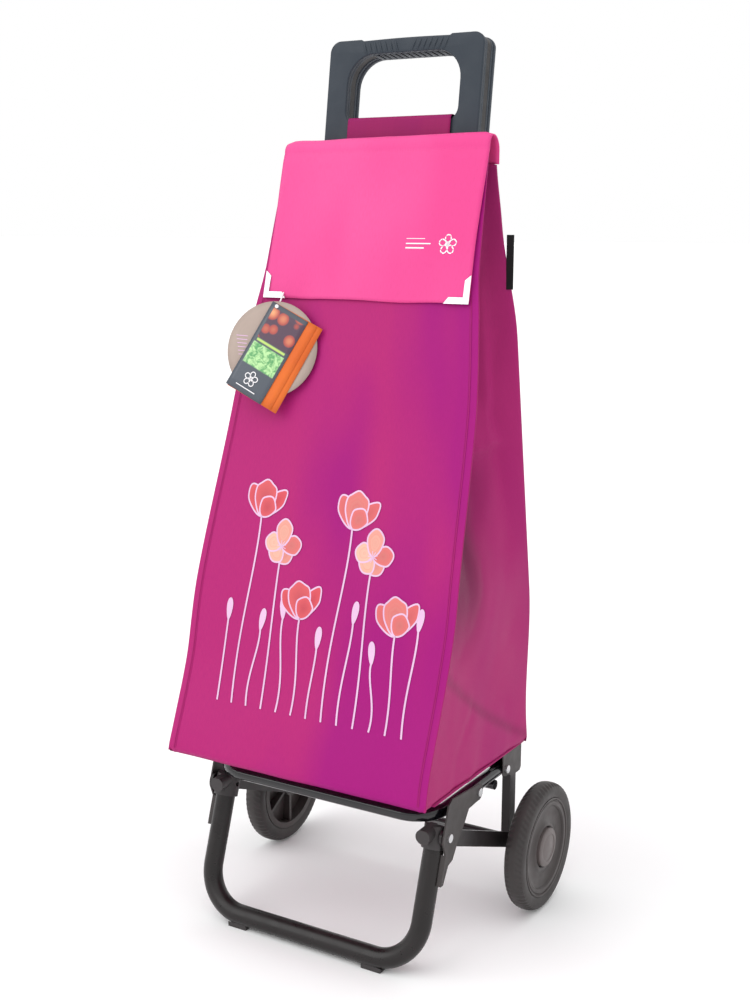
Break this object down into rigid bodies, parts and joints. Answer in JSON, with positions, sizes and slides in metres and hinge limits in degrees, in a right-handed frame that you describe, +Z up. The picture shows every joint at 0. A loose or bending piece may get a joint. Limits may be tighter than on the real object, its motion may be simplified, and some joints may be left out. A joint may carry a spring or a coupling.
{
  "type": "shopping trolley",
  "caption": "Folding shopping trolley: fabric bag with a flap on a tube chassis with a loop handle, a fold-out foot and a pair of wheels.",
  "frame": {"origin": "on the ground, at the centre of the outline seen from above", "axes": "+X to the trolley's right seen from the front side's viewer, +Y to the rear where the user walks, +Z up"},
  "size_m": [0.414, 0.332, 1.0622],
  "materials": {
    "chassis_black": "satin black powder coat",
    "platform_gloss": "gloss black enamel",
    "foot_paint": "semi-gloss black paint",
    "bracket_grey": "brown-grey semi-matt paint",
    "rivet_steel": "bright zinc",
    "handle_plastic": "fine-grained slate plastic",
    "moulded_black": "matt black plastic",
    "bag_fabric": "woven polyester, magenta with a purple sheen",
    "flap_fabric": "woven polyester, bright pink",
    "label_black": "plain woven label",
    "corner_metal": "bright",
    "kraft_card": "uncoated board",
    "printed_card": "printed board",
    "tyre": "matt grey-black solid tyre",
    "wheel_plastic": "dark grey moulding"
  },
  "bodies": {
    "frame": {"axle": "chassis_black", "left_post": "chassis_black", "right_post": "chassis_black", "left_knuckle": "bracket_grey", "right_knuckle": "bracket_grey", "left_upright": "chassis_black", "right_upright": "chassis_black", "cross_brace": "chassis_black", "left_spacer": "chassis_black", "right_spacer": "chassis_black", "left_axle_clip": "rivet_steel", "right_axle_clip": "rivet_steel", "left_platform_pin": "rivet_steel", "right_platform_pin": "rivet_steel", "handle_core": "handle_plastic", "handle_front_shell": "handle_plastic", "handle_rear_shell": "handle_plastic", "handle_screws": "rivet_steel", "left_handle_socket": "handle_plastic", "right_handle_socket": "handle_plastic", "bag_front_panel": "bag_fabric", "bag_back_panel": "bag_fabric", "bag_left_gusset": "bag_fabric", "bag_right_gusset": "bag_fabric", "bag_sleeve": "bag_fabric", "bag_side_label": "label_black"},
    "platform": {"platform_tube": "platform_gloss", "platform_rear_bar": "platform_gloss", "left_leg_pin": "rivet_steel", "right_leg_pin": "rivet_steel"},
    "foot": {"leg_tube": "foot_paint", "left_leg_plate": "bracket_grey", "right_leg_plate": "bracket_grey", "left_leg_collar": "moulded_black", "right_leg_collar": "moulded_black", "left_glide": "moulded_black", "right_glide": "moulded_black", "left_brace_pin": "rivet_steel", "right_brace_pin": "rivet_steel"},
    "braces": {"left_brace": "chassis_black", "right_brace": "chassis_black"},
    "bag_base": {"base_board": "moulded_black", "bag_floor": "bag_fabric"},
    "flap_arch": {"flap_top": "flap_fabric"},
    "flap": {"flap_front": "flap_fabric", "flap_left_corner": "corner_metal", "flap_right_corner": "corner_metal", "tag_loop": "corner_metal"},
    "swing_tag": {"tag_disc": "kraft_card", "tag_card": "printed_card"},
    "left_wheel": {"left_tyre": "tyre", "left_rim": "wheel_plastic", "left_bush": "rivet_steel", "left_hub_cap": "wheel_plastic"},
    "right_wheel": {"right_tyre": "tyre", "right_rim": "wheel_plastic", "right_bush": "rivet_steel", "right_hub_cap": "wheel_plastic"}
  },
  "joints": [
    {"name": "platform_fold", "type": "hinge", "parent": "frame", "child": "platform", "pos_m": [0, 0.058, 0.184], "axis": [-1, 0, 0], "range_deg": [0, 75]},
    {"name": "foot_fold", "type": "hinge", "parent": "platform", "child": "foot", "pos_m": [0, -0.03, 0.187], "axis": [-1, 0, 0], "range_deg": [-75, 0]},
    {"name": "brace_swing", "type": "hinge", "parent": "frame", "child": "braces", "pos_m": [0, 0.086, 0.08], "axis": [-1, 0, 0], "range_deg": [0, 31]},
    {"name": "base_lift", "type": "hinge", "parent": "frame", "child": "bag_base", "pos_m": [0, 0.069, 0.2245], "axis": [-1, 0, 0], "range_deg": [0, 75], "deforming": ["bag_floor"]},
    {"name": "flap_arch_lift", "type": "hinge", "parent": "frame", "child": "flap_arch", "pos_m": [0, 0.0442, 0.914], "axis": [-1, 0, 0], "range_deg": [0, 15]},
    {"name": "flap_lift", "type": "hinge", "parent": "flap_arch", "child": "flap", "pos_m": [0, 0.01851, 0.9258], "axis": [-1, 0, 0], "range_deg": [0, 140]},
    {"name": "tag_swing", "type": "hinge", "parent": "flap", "child": "swing_tag", "pos_m": [-0.107, -0.04355, 0.74709], "axis": [0.2079, -0.9457, 0.2499], "range_deg": [-12, 12]},
    {"name": "left_wheel_spin", "type": "hinge", "parent": "frame", "child": "left_wheel", "pos_m": [-0.193, 0.086, 0.08], "axis": [1, 0, 0], "continuous": true},
    {"name": "right_wheel_spin", "type": "hinge", "parent": "frame", "child": "right_wheel", "pos_m": [0.193, 0.086, 0.08], "axis": [1, 0, 0], "continuous": true}
  ],
  "couplings": [
    {"joint": "foot_fold", "follows": "platform_fold", "ratio": -1},
    {"joint": "brace_swing", "follows": "platform_fold", "ratio": 0.4076},
    {"joint": "base_lift", "follows": "platform_fold", "ratio": 1}
  ]
}
